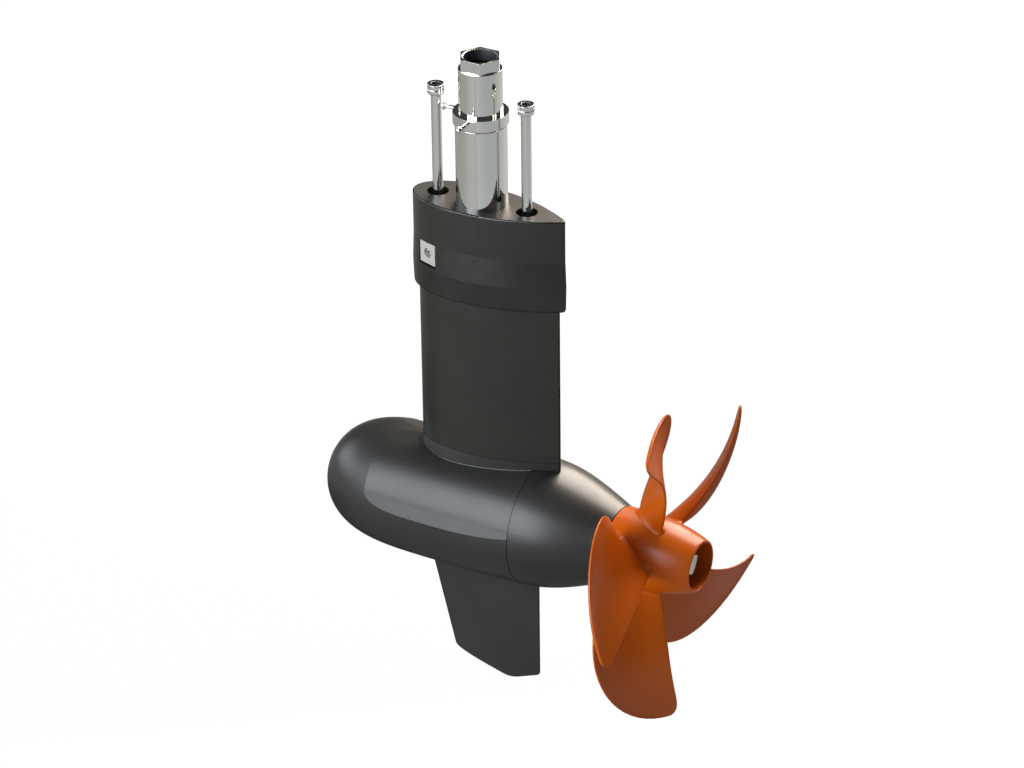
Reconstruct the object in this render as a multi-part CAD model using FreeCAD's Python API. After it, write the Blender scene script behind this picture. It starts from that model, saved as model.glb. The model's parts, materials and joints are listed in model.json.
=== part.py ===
import FreeCAD, Part
import math
import os

# Electric pod drive hung through a hull, in millimetres.
# Origin: stem axis on the hull seat (top of the head block). X aft, Y starboard, Z up.

V = FreeCAD.Vector

# General fits
slide_fit = 0.05          # radial clearance of turned pieces that locate each other
loose_fit = 0.3           # radial clearance of pieces that only pass through
run_gap = 1.0             # axial gap between the turning hub and the tail cone
pod_drop = 331.8          # hull seat to pod axis

# Stem, sleeve and ring nut
stem_od = 41.5
stem_wall = 5.0
stem_top = 149.2
stem_hex_flats = 36.0
stem_hex_height = 12.0
stem_hex_chamfer = 0.2
stem_mouth_chamfer = 0.9
stem_flange_step = 4.75
stem_flange_height = 8.0
sleeve_wall = 3.65
sleeve_sink = 2.0         # depth of its seat in the head block
ring_top = 94.0
ring_height = 13.0
ring_lip = 1.85           # how far the ring stands out past the sleeve
ring_flat_width = 7.2     # milled mark across the ring's top face
ring_flat_drop = 0.8
ring_flat_turn = -79.0    # of that mark, degrees from aft
lock_turn = 3.0           # of the lock screws' cross, degrees from aft
lock_drop = 3.0           # screw axis below the ring's top
lock_rod_d = 3.8
lock_collar_d = 8.0
lock_collar_length = 1.5
lock_tip_d = 5.0
lock_tip_length = 3.0
lock_port_reach = 41.2    # collar seat of the port screw, from the stem axis
lock_fore_reach = 37.6    # the same of the forward screw
seal_width = 3.0          # of the square rings
seal_depth = 2.0

# Hull bolts
bolt_d = 10.0
bolt_offset = 48.76
bolt_head_d = 16.2
bolt_head_height = 10.0
bolt_head_chamfer = 1.0
bolt_head_top = 111.1
bolt_socket_flats = 8.0
bolt_socket_depth = 5.0
bolt_hole_d = 21.0
bolt_engagement = 24.0
insert_wall = 3.0
insert_length = 30.0

# Head block and column, foil sections: an elliptic nose, two arcs aft, a round tail
foil_shoulder = -12.0     # station of greatest width
head_nose = -74.2
head_tail = 89.6
head_half_width = 31.8
head_tail_radius = 4.0
head_height = 43.0
head_edge = 1.5
skirt_height = 53.0
skirt_swell = 2.0         # how far the skirt's crest stands proud of the head block
skirt_foot_swell = 0.5
skirt_crest_drop = 27.0   # below the head block
skirt_edge = 3.5
skirt_wall = 4.8
skirt_tail_wall = 6.1
strut_tail_radius = 2.5
gasket_thickness = 1.0
gasket_inset = 1.0

# Anode plate on the port side of the skirt
anode_width = 21.0
anode_height = 22.0
anode_thickness = 4.0
anode_angle = 18.0        # of its face to the centreline, degrees
anode_centre_x = -45.3
anode_margin = 1.5
anode_screw_d = 5.0
anode_screw_head_d = 9.5
anode_screw_head_height = 2.5
anode_screw_socket = 3.0
anode_screw_length = 14.0

# Pod
pod_nose = -175.3
pod_crown = -22.0         # station of greatest girth
pod_crown_rise = 1.6      # crown radius over the seam's
pod_nose_power = 4.4      # fullness of the nose
pod_wall = 5.5
pod_bore_length = 154.0   # straight bore forward of the seam
seam_x = 59.0
seam_radius = 64.0
seam_groove = 0.8
seam_groove_depth = 1.2
spigot_length = 10.0
spigot_wall = 4.0
tail_length = 90.4
tail_end_radius = 37.9
tail_handles = (30.0, 40.0)
tail_end_slope = 0.42
tail_wall = 6.0
tail_boss_wall = 4.0
flat_relief = 0.5         # side flats: a straight cylinder just inside the seam's radius
flat_centre = 45.0        # degrees from the top
flat_half_angle = 30.5
flat_draft = 3.2

# Pedestal between the pod and the column
pedestal_rise = 6.2       # its top over the crown
pedestal_nose_step = 0.5
pedestal_tail = 83.5
pedestal_half_width = 27.5
pedestal_shoulder = -22.0
pedestal_sink = 4.0       # depth of its foot below the pod's skin
pedestal_gap = 0.5        # pedestal tail over the tail cone

# Cable duct
duct_d = 16.0
duct_foot_x = -58.0
gland_flats = 22.0
gland_nut_height = 8.0
gland_seat_drop = 3.0     # seat of its nut below the crest of the bore
gland_turn = 30.0         # of the nut, degrees

# Skeg, heights as drops below the pod axis
skeg_nose_top = -69.0     # leading edge at skeg_top_drop
skeg_nose_foot = -33.0    # leading edge at skeg_foot_drop
skeg_top_drop = 53.2
skeg_foot_drop = 193.2
skeg_half_thickness = 5.0
skeg_tail_radius = 1.6
skeg_tail_step = 0.3      # forward of the seam
skeg_heel_drop = 170.4
skeg_keel_x = 26.5
skeg_keel_drop = 189.5
skeg_toe_drop = 178.0
skeg_corner_radii = (11.0, 28.0, 4.0)
skeg_screw_d = 6.0
skeg_screw_head_d = 11.0
skeg_screw_length = 22.0
skeg_screw_socket = 4.0
skeg_screw_inset = 0.5    # head below the bore's skin
skeg_screw_x = (-22.0, 30.0)

# Motor
stator_inset = 5.0        # forward of the tail cone's spigot
stator_length = 64.0
back_iron = 4.0
slot_count = 12
slot_width = 8.0
slot_depth = 12.0
slot_lip = 2.0
slot_mouth = 2.0
winding_clearance = 0.2
end_turn_length = 9.0
end_turn_step = 1.0
air_gap = 1.0
magnet_thickness = 4.0
magnet_count = 8
magnet_gap_angle = 8.0
rotor_end_inset = 2.0

# Shaft and bearings
shaft_radius = 10.0
shaft_overrun = 2.0       # forward of the front bearing
front_journal_radius = 7.5
hub_seat_radius = 8.0
thread_radius = 6.0
bell_gap = 9.0            # between the end turns and the front bearing
front_bearing_width = 11.0
front_bearing_radius = 17.5
front_race_wall = 2.25
rear_bearing_width = 14.0
rear_bearing_radius = 23.5
rear_race_wall = 2.8
shield_thickness = 1.0
shield_inset = 0.5        # below the races' side faces
shield_clearance = 0.1    # over the inner race
bell_thickness = 8.0
bell_hub_wall = 4.5
bell_window_radius = 9.0
lip_width = 8.0
lip_radius = 17.5
lip_wall = 3.0
lip_web = 2.0
lip_clearance = 0.05
lip_depth = 7.4           # below the tail cone's end face
lip_shoulder = 8.0        # wall between the lip seal and the rear bearing
shaft_bore_clearance = 0.6

# Controller
board_stand_off = 44.0
board_thickness = 2.0
board_radius = 46.0
post_radius = 3.0
post_stud_radius = 1.5
post_circle = 38.0
post_count = 4
post_turn = 45.0
capacitor_radius = 6.0
capacitor_height = 20.0
capacitor_circle = 24.0

# Propeller
blade_count = 5
blade_tip_radius = 163.0
blade_root_cover = 2.2               # blade root over the hub's back radius
blade_law_radii = (33.0, 164.3)      # where the blade laws below run from 0 to 1
blade_chords = (40.0, 99.3, 132.2)   # at the start, middle and end of the laws
blade_tip_power = 6.5                # fullness of the tip
blade_tail_trim = 0.14               # share of the chord rounded off the trailing corner
blade_tail_power = 15.6
blade_back = (49.6, 43.4, -14.1, -5.9)   # trailing edge aft of the hub's front, a cubic law
blade_skew = (18.5, -0.1, 11.7, 2.9)     # trailing edge angle in degrees, a cubic law
blade_pitch = (335.0, 21.4, -38.9)
blade_camber = (0.075, -0.043)
blade_thickness = (9.9, -7.3)
blade_stations = 9
blade_chord_points = 7
tip_closure = 0.995       # share of the tip's round that the last station reaches
hub_length = 87.3
hub_back_radius = 25.8
hub_rim = 2.2
hub_handles = (30.0, 30.0)
hub_front_slope = 0.02
hub_back_slope = 0.42
hub_hollow_depth = 34.7
drive_pin_d = 5.0
drive_pin_length = 38.0
drive_pin_inset = 6.6
washer_radius = 15.0
washer_thickness = 2.5
nut_flats = 20.0
nut_length = 24.0
nut_cap = 3.0             # closed end
nut_chamfer = 0.4

# Values that follow from the ones above
pod_z = -pod_drop
stem_r = stem_od / 2
stem_bore = stem_r - stem_wall
flange_r = stem_r + stem_flange_step
sleeve_bore = stem_r + loose_fit
sleeve_r = sleeve_bore + sleeve_wall
sleeve_top = ring_top - ring_height
lock_reach = (lock_port_reach, lock_fore_reach)
ring_r = sleeve_r + ring_lip
insert_r = bolt_d / 2 + insert_wall
strut_nose = head_nose + skirt_wall
strut_tail = head_tail - skirt_tail_wall
strut_half_width = head_half_width - skirt_wall
strut_top = -head_height
crown_radius = seam_radius + pod_crown_rise
strut_foot = pod_z + crown_radius + pedestal_rise
pedestal_top = strut_foot - gasket_thickness
flat_radius = seam_radius - flat_relief
bore_radius = flat_radius - pod_wall
fitted_radius = bore_radius - slide_fit
bore_start = seam_x - pod_bore_length
spigot_start = seam_x - spigot_length
tail_end = seam_x + tail_length
lip_x = tail_end - lip_depth - lip_width
rear_bearing_x = lip_x - lip_shoulder - rear_bearing_width
stator_back = spigot_start - stator_inset
stator_front = stator_back - stator_length
slot_top = fitted_radius - back_iron
slot_foot = slot_top - slot_depth
stator_bore = slot_foot - slot_lip
magnet_radius = stator_bore - air_gap
core_radius = magnet_radius - magnet_thickness
front_bearing_x = stator_front - end_turn_length - bell_gap - front_bearing_width
web_x = front_bearing_x + front_bearing_width - bell_thickness
board_x = web_x - board_stand_off - board_thickness
hub_front = tail_end + run_gap
hub_back = hub_front + hub_length
hub_web_end = hub_back - hub_hollow_depth
blade_root_radius = hub_back_radius + blade_root_cover


# Helpers

def turned_z(profile):
    wire = Part.makePolygon([V(r, 0, z) for z, r in profile + profile[:1]])
    return Part.Face(wire).revolve(V(0, 0, 0), V(0, 0, 1), 360)


def on_pod(x, r):
    return V(x, 0, pod_z + r)


def spun_on_pod(edges):
    face = Part.Face(Part.Wire(edges))
    return face.revolve(V(0, 0, pod_z), V(1, 0, 0), 360)


def turned_pod(profile):
    points = [on_pod(x, r) for x, r in profile + profile[:1]]
    return spun_on_pod(Part.makePolygon(points).Edges)


def disc(x, length, radius, bore=0.0):
    body = Part.makeCylinder(radius, length, on_pod(x, 0), V(1, 0, 0))
    if bore > 0:
        body = body.cut(Part.makeCylinder(bore, length, on_pod(x, 0), V(1, 0, 0)))
    return body


def pillar(radius, low, high, x=0.0, y=0.0):
    return Part.makeCylinder(radius, high - low, V(x, y, low))


def hexagon(flats, height, centre, axis, turn=0.0):
    corner = flats / math.sqrt(3)
    angles = [math.radians(turn + 60 * i) for i in range(7)]
    ring = [V(corner * math.cos(a), corner * math.sin(a), 0) for a in angles]
    prism = Part.Face(Part.makePolygon(ring)).extrude(V(0, 0, height))
    prism.Placement = FreeCAD.Placement(centre, FreeCAD.Rotation(V(0, 0, 1), axis))
    return prism


def around_pod(shape, angle):
    copy = shape.copy()
    copy.rotate(V(0, 0, pod_z), V(1, 0, 0), angle)
    return copy


def around_stem(shape, angle):
    copy = shape.copy()
    copy.rotate(V(0, 0, 0), V(0, 0, 1), angle)
    return copy


def group(shapes):
    return Part.makeCompound(shapes)


def bezier(points):
    curve = Part.BezierCurve()
    curve.setPoles(points)
    return curve.toShape()


def foil_wire(nose, tail, half_width, tail_radius, z, shoulder=foil_shoulder):
    # elliptic nose up to the shoulder, then one arc a side tangent to the tail round
    run = tail - tail_radius - shoulder
    rise = half_width - tail_radius
    flank = (run ** 2 + half_width ** 2 - tail_radius ** 2) / (2 * rise)
    lean = math.asin(run / (flank - tail_radius))
    touch_x = tail - tail_radius + tail_radius * math.sin(lean)
    touch_y = tail_radius * math.cos(lean)
    mid_x = shoulder + flank * math.sin(lean / 2)
    mid_y = half_width - flank + flank * math.cos(lean / 2)
    ellipse = Part.Ellipse(V(shoulder, 0, z), shoulder - nose, half_width)
    front = Part.ArcOfEllipse(ellipse, math.pi / 2, 3 * math.pi / 2)
    port = Part.Arc(V(shoulder, -half_width, z), V(mid_x, -mid_y, z), V(touch_x, -touch_y, z))
    back = Part.Arc(V(touch_x, -touch_y, z), V(tail, 0, z), V(touch_x, touch_y, z))
    starboard = Part.Arc(V(touch_x, touch_y, z), V(mid_x, mid_y, z), V(shoulder, half_width, z))
    return Part.Wire([front.toShape(), port.toShape(), back.toShape(), starboard.toShape()])


def foil_prism(nose, tail, half_width, tail_radius, low, high):
    face = Part.Face(foil_wire(nose, tail, half_width, tail_radius, low))
    return face.extrude(V(0, 0, high - low))


def rounded_outline(corners, radii, place):
    # closed outline of straight runs, each corner rounded by its own radius
    edges = []
    count = len(corners)
    starts = []
    ends = []
    for i in range(count):
        here = V(*corners[i], 0)
        before = (V(*corners[i - 1], 0) - here).normalize()
        after = (V(*corners[(i + 1) % count], 0) - here).normalize()
        half = before.getAngle(after) / 2
        if radii[i] == 0:
            starts.append(here)
            ends.append(here)
            continue
        reach = radii[i] / math.tan(half)
        starts.append(here + before * reach)
        ends.append(here + after * reach)
        middle = (before + after).normalize()
        bulge = here + middle * (radii[i] / math.sin(half) - radii[i])
        edges.append(Part.Arc(place(starts[i]), place(bulge), place(ends[i])).toShape())
    for i in range(count):
        edges.append(Part.makeLine(place(ends[i]), place(starts[(i + 1) % count])))
    return Part.Wire(Part.__sortEdges__(edges))


# Hull fitting

def stem_tube():
    flange_top = strut_top + stem_flange_height
    hex_bottom = stem_top - stem_hex_height
    body = turned_z([
        (strut_top, 0), (strut_top, flange_r - slide_fit), (flange_top, flange_r - slide_fit),
        (flange_top, stem_r), (hex_bottom, stem_r), (hex_bottom, 0)])
    top = hexagon(stem_hex_flats, stem_hex_height, V(0, 0, hex_bottom), V(0, 0, 1))
    chamfered = pillar(stem_r - stem_hex_chamfer, hex_bottom, stem_top)
    body = body.fuse(top.common(chamfered)).removeSplitter()
    mouth = turned_z([
        (stem_top - stem_mouth_chamfer, 0), (stem_top - stem_mouth_chamfer, stem_bore),
        (stem_top, stem_bore + stem_mouth_chamfer), (stem_top, 0)])
    return body.cut([pillar(stem_bore, strut_top, stem_top), mouth])


def stem_seal():
    low = -(head_height + seal_width) / 2
    high = low + seal_width
    return pillar(stem_r + seal_depth, low, high).cut(pillar(stem_r, low, high))


def hull_sleeve():
    return pillar(sleeve_r, -sleeve_sink, sleeve_top).cut(pillar(sleeve_bore, -sleeve_sink, sleeve_top))


def ring_nut():
    inner = stem_r + slide_fit
    body = turned_z([
        (sleeve_top, inner), (sleeve_top, sleeve_r), (sleeve_top + ring_lip, ring_r),
        (ring_top, ring_r), (ring_top, inner)])
    flat = Part.makeBox(ring_r, ring_flat_width, ring_flat_drop,
                        V(0, -ring_flat_width / 2, ring_top - ring_flat_drop))
    body = body.cut(around_stem(flat, ring_flat_turn))
    for i in range(len(lock_reach)):
        body = body.cut(around_stem(lock_rod(ring_r), lock_angle(i)))
    return body


def lock_angle(i):
    # one screw to port, one forward
    return lock_turn - 90 * (i + 1)


def lock_rod(end):
    start = stem_r + slide_fit
    return Part.makeCylinder(lock_rod_d / 2, end - start, V(start, 0, ring_top - lock_drop),
                             V(1, 0, 0))


def lock_screws():
    screws = []
    z = ring_top - lock_drop
    for i, reach in enumerate(lock_reach):
        collar = Part.makeCylinder(lock_collar_d / 2, lock_collar_length, V(reach, 0, z),
                                   V(1, 0, 0))
        tip = Part.makeCylinder(lock_tip_d / 2, lock_tip_length,
                                V(reach + lock_collar_length, 0, z), V(1, 0, 0))
        screws.append(around_stem(lock_rod(reach).fuse([collar, tip]), lock_angle(i)))
    return group(screws)


def hull_bolts():
    bolts = []
    for x in (-bolt_offset, bolt_offset):
        neck = bolt_head_top - bolt_head_height
        shank = pillar(bolt_d / 2, strut_top - bolt_engagement, neck, x)
        head = pillar(bolt_head_d / 2, neck, bolt_head_top, x)
        rim = [e for e in head.Edges if e.BoundBox.ZMin > neck + bolt_head_height / 2]
        head = head.makeChamfer(bolt_head_chamfer, rim)
        socket = hexagon(bolt_socket_flats, bolt_socket_depth,
                         V(x, 0, bolt_head_top - bolt_socket_depth), V(0, 0, 1))
        bolts.append(shank.fuse(head).cut(socket))
    return group(bolts)


def bolt_inserts():
    inserts = []
    for x in (-bolt_offset, bolt_offset):
        tube = pillar(insert_r, strut_top - insert_length, strut_top, x)
        inserts.append(tube.cut(pillar(bolt_d / 2, strut_top - bolt_engagement, strut_top, x)))
    return group(inserts)


def head_block():
    body = foil_prism(head_nose, head_tail, head_half_width, head_tail_radius, strut_top, 0)
    rim = [e for e in body.Edges if e.BoundBox.ZMin > strut_top / 2]
    body = body.makeFillet(head_edge, rim)
    body = body.cut(pillar(stem_r + slide_fit, strut_top, 0))
    body = body.cut(pillar(flange_r, strut_top, strut_top + stem_flange_height))
    body = body.cut(pillar(sleeve_r + slide_fit, -sleeve_sink, 0))
    for x in (-bolt_offset, bolt_offset):
        body = body.cut(pillar(bolt_hole_d / 2, strut_top, 0, x))
    return body.cut(stem_seal())


# Column

def skirt_foil(swell, z):
    return foil_wire(head_nose - swell / 2, head_tail + swell / 2, head_half_width + swell,
                     head_tail_radius, z)


def skirt_shell():
    crest = strut_top - skirt_crest_drop
    foot = strut_top - skirt_height
    upper = Part.makeLoft([skirt_foil(0, strut_top), skirt_foil(skirt_swell, crest)], True, True)
    lower = Part.makeLoft([skirt_foil(skirt_swell, crest), skirt_foil(skirt_foot_swell, foot)],
                          True, True)
    rim = [e for e in lower.Edges if e.BoundBox.ZMax < (crest + foot) / 2]
    return upper.fuse(lower.makeFillet(skirt_edge, rim))


def strut_body():
    return foil_prism(strut_nose, strut_tail, strut_half_width, strut_tail_radius,
                      strut_foot, strut_top)


def head_half_width_at(x):
    u = (foil_shoulder - x) / (foil_shoulder - head_nose)
    return head_half_width * math.sqrt(1 - u * u)


def anode_block(margin):
    # block whose outer face lies on the skirt, grown by a margin on three sides and outwards
    side = anode_width + 2 * margin
    proud = 4 * margin
    block = Part.makeBox(side, anode_thickness + proud, anode_height + margin,
                         V(-side / 2, -proud, -anode_height - margin))
    block.Placement = FreeCAD.Placement(
        V(anode_centre_x, -head_half_width_at(anode_centre_x), strut_top),
        FreeCAD.Rotation(V(0, 0, 1), -anode_angle))
    return block


def anode_drill(radius, depth):
    # round tool driven inwards from the plate's face, at its middle
    inward = FreeCAD.Rotation(V(0, 0, 1), -anode_angle).multVec(V(0, 1, 0))
    centre = V(anode_centre_x, -head_half_width_at(anode_centre_x), strut_top - anode_height / 2)
    return Part.makeCylinder(radius, depth, centre, inward), centre, inward


def top_skirt():
    shank = anode_drill(anode_screw_d / 2, anode_screw_length)[0]
    return skirt_shell().cut(strut_body()).cut(anode_block(anode_margin)).cut(shank)


def anode_plate():
    hole = anode_drill(anode_screw_d / 2, anode_thickness)[0]
    sink = anode_drill(anode_screw_head_d / 2 + slide_fit, anode_screw_head_height)[0]
    return anode_block(0).cut([hole, sink])


def anode_screw():
    head, centre, inward = anode_drill(anode_screw_head_d / 2, anode_screw_head_height)
    shank = anode_drill(anode_screw_d / 2, anode_screw_length)[0]
    socket = hexagon(anode_screw_socket, anode_screw_head_height / 2, centre, inward)
    return head.fuse(shank).cut(socket)


def cable_duct():
    # inclined passage from the stem's bore to the forward chamber of the pod
    way = V(duct_foot_x, 0, strut_foot - strut_top)
    over = way * (duct_d / way.Length)
    length = way.Length + 2 * over.Length
    return Part.makeCylinder(duct_d / 2, length, V(0, 0, strut_top) - over, way)


def tie_stations():
    # fore and aft station of the studs between column and pedestal
    return (stator_front - bolt_engagement / 3, stator_back - bolt_engagement)


def strut_column():
    body = strut_body().cut(cable_duct())
    for x in (-bolt_offset, bolt_offset):
        body = body.cut(pillar(insert_r, strut_top - insert_length, strut_top, x))
    for x in tie_stations():
        body = body.cut(pillar(bolt_d / 2, strut_foot, strut_foot + bolt_engagement, x))
    return body.cut([anode_drill(anode_screw_d / 2, anode_screw_length)[0], anode_block(0)])


def column_screws():
    # studs that tie the pedestal to the foot of the column
    low = pod_z + bore_radius + slide_fit
    return group([pillar(bolt_d / 2, low, strut_foot + bolt_engagement, x)
                  for x in tie_stations()])


def strut_gasket():
    sheet = foil_prism(strut_nose + gasket_inset, strut_tail - gasket_inset,
                       strut_half_width - gasket_inset, strut_tail_radius - gasket_inset,
                       pedestal_top, strut_foot)
    sheet = sheet.cut(pillar(duct_d / 2, pedestal_top, strut_foot, duct_foot_x))
    for x in tie_stations():
        sheet = sheet.cut(pillar(bolt_d / 2, pedestal_top, strut_foot, x))
    return sheet


# Pod

def nose_radius(x, girth, nose):
    u = (pod_crown - x) / (pod_crown - nose)
    return girth * math.sqrt(max(0.0, 1 - u ** pod_nose_power))


def nose_curve(girth, nose, end):
    # even steps in angle keep the points close where the nose turns fast
    steps = 10
    span = math.acos((pod_crown - end) / (pod_crown - nose))
    points = []
    for i in range(steps + 1):
        x = pod_crown - (pod_crown - nose) * math.cos(span * i / steps)
        points.append(on_pod(x, nose_radius(x, girth, nose)))
    curve = Part.BSplineCurve()
    curve.interpolate(points)
    return curve.toShape()


def crown_arc():
    run = seam_x - pod_crown
    radius = (run * run + pod_crown_rise ** 2) / (2 * pod_crown_rise)
    half = math.asin(run / radius) / 2
    middle = on_pod(pod_crown + radius * math.sin(half),
                    crown_radius - radius * (1 - math.cos(half)))
    return Part.Arc(on_pod(pod_crown, crown_radius), middle,
                    on_pod(seam_x, seam_radius)).toShape()


def pod_solid():
    edges = [nose_curve(crown_radius, pod_nose, pod_crown), crown_arc(),
             Part.makeLine(on_pod(seam_x, seam_radius), on_pod(seam_x, 0)),
             Part.makeLine(on_pod(seam_x, 0), on_pod(pod_nose, 0))]
    return spun_on_pod(edges)


def pod_hollow():
    nose = pod_nose + pod_wall
    share = ((pod_crown - bore_start) / (pod_crown - nose)) ** pod_nose_power
    girth = bore_radius / math.sqrt(1 - share)
    edges = [nose_curve(girth, nose, bore_start),
             Part.makeLine(on_pod(bore_start, bore_radius), on_pod(seam_x, bore_radius)),
             Part.makeLine(on_pod(seam_x, bore_radius), on_pod(seam_x, 0)),
             Part.makeLine(on_pod(seam_x, 0), on_pod(nose, 0))]
    return spun_on_pod(edges)


def tail_curve(offset=0.0):
    start, end = tail_handles
    slope = 2 * pod_crown_rise / (seam_x - pod_crown)
    return bezier([
        on_pod(seam_x, seam_radius + offset),
        on_pod(seam_x + start, seam_radius + offset - slope * start),
        on_pod(tail_end - end, tail_end_radius + offset + tail_end_slope * end),
        on_pod(tail_end, tail_end_radius + offset)])


def tail_solid(offset=0.0):
    edges = [tail_curve(offset),
             Part.makeLine(on_pod(tail_end, tail_end_radius + offset), on_pod(tail_end, 0)),
             Part.makeLine(on_pod(tail_end, 0), on_pod(seam_x, 0)),
             Part.makeLine(on_pod(seam_x, 0), on_pod(seam_x, seam_radius + offset))]
    return spun_on_pod(edges)


def side_flat():
    # everything outside a straight cylinder, between two drafted planes
    half = math.radians(flat_half_angle)
    draft = math.radians(flat_draft)
    run = crown_radius / 3

    def at(radius, angle):
        return V(pod_nose, -radius * math.sin(angle), pod_z + radius * math.cos(angle))

    inner = [at(flat_radius, -half), at(flat_radius, 0), at(flat_radius, half)]
    outer = []
    for side in (1, -1):
        tangent = V(0, -math.cos(half), -math.sin(half) * side).multiply(side)
        normal = V(0, -math.sin(half) * side, math.cos(half))
        outer.append(inner[1 + side] + tangent * (run * math.cos(draft))
                     + normal * (run * math.sin(draft)))
    peak = at(flat_radius * 2, 0)
    edges = [Part.Arc(*inner).toShape(), Part.makeLine(inner[2], outer[0]),
             Part.makeLine(outer[0], peak), Part.makeLine(peak, outer[1]),
             Part.makeLine(outer[1], inner[0])]
    return Part.Face(Part.Wire(edges)).extrude(V(seam_x - pod_nose, 0, 0))


def pedestal():
    skin = pod_z + math.sqrt(crown_radius ** 2 - pedestal_half_width ** 2)
    high = foil_wire(strut_nose, strut_tail, strut_half_width, strut_tail_radius, pedestal_top)
    low = foil_wire(strut_nose - pedestal_nose_step, pedestal_tail, pedestal_half_width,
                    strut_tail_radius, skin - pedestal_sink, pedestal_shoulder)
    return Part.makeLoft([high, low], True, True).cut(tail_solid(pedestal_gap))


def pod_housing():
    shell = pod_solid()
    for side in (1, -1):
        shell = shell.cut(around_pod(side_flat(), flat_centre * side))
    shell = shell.fuse(pedestal()).cut(pod_hollow())
    shell = shell.cut(pillar(duct_d / 2, pod_z, 0, duct_foot_x))
    for x in tie_stations():
        shell = shell.cut(pillar(bolt_d / 2, pod_z, 0, x))
    for x in skeg_screw_x:
        shell = shell.cut(skeg_screw(x))
    return shell


def cable_gland():
    seat = pod_z + bore_radius - gland_seat_drop
    body = pillar(duct_d / 2, seat, pedestal_top - gasket_thickness, duct_foot_x)
    nut = hexagon(gland_flats, gland_nut_height, V(duct_foot_x, 0, seat - gland_nut_height),
                  V(0, 0, 1), gland_turn)
    bore = pillar(duct_d / 4, seat - gland_nut_height, strut_foot, duct_foot_x)
    return body.fuse(nut).cut(bore)


def tail_radius_at(share):
    # radius of the tail's curve at a share of its length
    curve = tail_curve()
    first = curve.FirstParameter
    return curve.valueAt(first + share * (curve.LastParameter - first)).z - pod_z


def tail_cone():
    inner = fitted_radius - spigot_wall
    waist = rear_bearing_x - 2 * tail_wall
    waist_radius = tail_radius_at((waist - seam_x) / tail_length) - 2 * tail_wall
    body = tail_solid().fuse(disc(spigot_start, spigot_length, fitted_radius))
    body = body.cut(turned_pod([
        (spigot_start, 0), (spigot_start, inner), (seam_x + spigot_length, inner),
        (waist, waist_radius), (rear_bearing_x, rear_bearing_radius + tail_boss_wall),
        (rear_bearing_x, 0)]))
    groove = disc(seam_x, seam_groove, seam_radius * 2, seam_radius - seam_groove_depth)
    seat = disc(rear_bearing_x, rear_bearing_width, rear_bearing_radius)
    bore = disc(rear_bearing_x, tail_end - rear_bearing_x, shaft_radius + shaft_bore_clearance)
    pocket = disc(lip_x, tail_end - lip_x, lip_radius)
    return body.cut([groove, seat, bore, pocket, seam_seal()])


def seam_seal():
    start = seam_x - (spigot_length + seal_width) / 2
    return disc(start, seal_width, bore_radius, fitted_radius - seal_depth)


def skeg():
    top = pod_z - skeg_top_drop
    foot = pod_z - skeg_foot_drop
    heel = pod_z - skeg_heel_drop
    tail = seam_x - skeg_tail_step
    fin = Part.makeLoft([
        foil_wire(skeg_nose_top, tail, skeg_half_thickness, skeg_tail_radius, top),
        foil_wire(skeg_nose_foot, tail, skeg_half_thickness, skeg_tail_radius, foot)],
        True, True)
    sweep = (skeg_nose_foot - skeg_nose_top) / (foot - top)
    heel_x = skeg_nose_top + sweep * (heel - top)
    clear = skeg_corner_radii[0]
    corners = [(skeg_nose_top - clear, top), (heel_x - clear, heel + 2 * clear), (heel_x, heel),
               (skeg_keel_x, pod_z - skeg_keel_drop), (tail, pod_z - skeg_toe_drop),
               (tail, top)]
    radii = [0, 0, *skeg_corner_radii, 0]
    slab_y = 2 * skeg_half_thickness
    outline = rounded_outline(corners, radii, lambda p: V(p.x, -slab_y, p.y))
    slab = Part.Face(outline).extrude(V(0, 2 * slab_y, 0))
    fin = fin.common(slab).cut(pod_solid())
    for x in skeg_screw_x:
        fin = fin.cut(skeg_screw(x))
    return fin


def skeg_screw(x):
    seat = V(x, 0, pod_z - bore_radius - skeg_screw_inset)
    head = Part.makeCone(skeg_screw_head_d / 2, skeg_screw_d / 2, skeg_screw_d / 2, seat,
                         V(0, 0, -1))
    shank = Part.makeCylinder(skeg_screw_d / 2, skeg_screw_length, seat, V(0, 0, -1))
    return head.fuse(shank)


def skeg_screws():
    screws = []
    for x in skeg_screw_x:
        socket = hexagon(skeg_screw_socket, skeg_screw_d / 3,
                         V(x, 0, pod_z - bore_radius - skeg_screw_inset), V(0, 0, -1))
        screws.append(skeg_screw(x).cut(socket))
    return group(screws)


# Motor, fixed pieces

def slot(clearance):
    # one stator slot, or its winding when drawn in by a clearance
    width = slot_width - 2 * clearance
    return Part.makeBox(stator_length, width, slot_depth - 2 * clearance,
                        V(stator_front, -width / 2, pod_z + slot_foot + clearance))


def stator_core():
    body = disc(stator_front, stator_length, fitted_radius, stator_bore)
    mouth = Part.makeBox(stator_length, slot_mouth, 2 * slot_lip,
                         V(stator_front, -slot_mouth / 2, pod_z + stator_bore - slot_lip / 2))
    opening = slot(0).fuse(mouth)
    return body.cut([around_pod(opening, 360 * i / slot_count) for i in range(slot_count)])


def stator_windings():
    low = slot_foot + winding_clearance
    high = slot_top - winding_clearance - end_turn_step
    rings = [disc(x, end_turn_length, high, low)
             for x in (stator_front - end_turn_length, stator_back)]
    bars = [around_pod(slot(winding_clearance), 360 * i / slot_count) for i in range(slot_count)]
    return rings[0].fuse(rings[1:] + bars)


def front_end_bell():
    hub_r = front_bearing_radius + bell_hub_wall
    body = disc(web_x, bell_thickness, fitted_radius)
    body = body.fuse(disc(front_bearing_x, front_bearing_width, hub_r))
    window = disc(web_x, bell_thickness, bell_window_radius)
    window.translate(V(0, 0, (hub_r + fitted_radius) / 2))
    tools = [around_pod(window, 360 * i / post_count) for i in range(post_count)]
    return body.cut(tools + [disc(front_bearing_x, front_bearing_width, front_bearing_radius)])


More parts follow.
